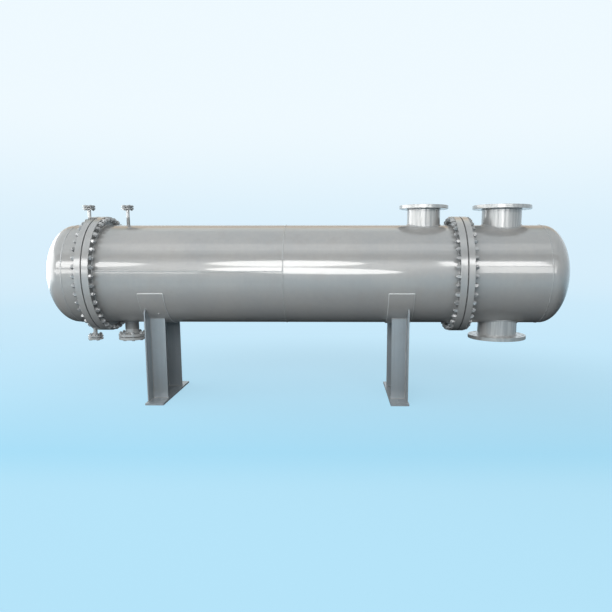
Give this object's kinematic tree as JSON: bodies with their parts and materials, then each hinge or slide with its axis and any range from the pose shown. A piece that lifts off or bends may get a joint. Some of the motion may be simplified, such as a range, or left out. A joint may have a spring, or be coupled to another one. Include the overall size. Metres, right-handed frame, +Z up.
{
  "type": "shell and tube heat exchanger",
  "caption": "Horizontal shell and tube heat exchanger on two saddles, with dished ends, bolted body flanges, open top and bottom nozzles, and blinded vents and drains.",
  "frame": {"origin": "on the floor under the middle of the tubes, which is the centre of the four anchor holes, on the bottom plane of both saddle bases", "axes": "+X along the vessel towards the channel end, +Y across it, +Z up"},
  "size_m": [4.333, 0.96, 1.6213],
  "materials": {
    "vessel_paint": "satin silver-grey paint",
    "flange_paint": "satin silver-grey paint, brighter",
    "saddle_paint": "satin grey paint",
    "gasket_sheet": "matte graphite sheet",
    "bare_steel": "mill finish"
  },
  "bodies": {
    "root": {"channel_barrel": "vessel_paint", "channel_bottom_flange": "flange_paint", "channel_bottom_neck": "flange_paint", "channel_flange": "flange_paint", "channel_gasket": "gasket_sheet", "channel_head": "vessel_paint", "channel_top_flange": "flange_paint", "channel_top_neck": "flange_paint", "front_tubesheet": "flange_paint", "impingement_plate": "bare_steel", "left_saddle_base": "saddle_paint", "left_saddle_pad": "saddle_paint", "left_saddle_ribs": "saddle_paint", "left_saddle_web": "saddle_paint", "pass_partition": "bare_steel", "rear_bonnet_barrel": "vessel_paint", "rear_bonnet_flange": "flange_paint", "rear_bonnet_head": "vessel_paint", "rear_drain_blind": "flange_paint", "rear_drain_flange": "flange_paint", "rear_drain_gasket": "gasket_sheet", "rear_drain_neck": "flange_paint", "rear_gasket": "gasket_sheet", "rear_tubesheet": "flange_paint", "rear_vent_blind": "flange_paint", "rear_vent_flange": "flange_paint", "rear_vent_gasket": "gasket_sheet", "rear_vent_neck": "flange_paint", "right_saddle_base": "saddle_paint", "right_saddle_pad": "saddle_paint", "right_saddle_ribs": "saddle_paint", "right_saddle_web": "saddle_paint", "shell_inlet_flange": "flange_paint", "shell_inlet_neck": "flange_paint", "shell_left_course": "vessel_paint", "shell_outlet_blind": "flange_paint", "shell_outlet_flange": "flange_paint", "shell_outlet_gasket": "gasket_sheet", "shell_outlet_neck": "flange_paint", "shell_right_course": "vessel_paint", "shell_vent_blind": "flange_paint", "shell_vent_flange": "flange_paint", "shell_vent_gasket": "gasket_sheet", "shell_vent_neck": "flange_paint", "tube_bundle": "bare_steel"}
  },
  "joints": []
}
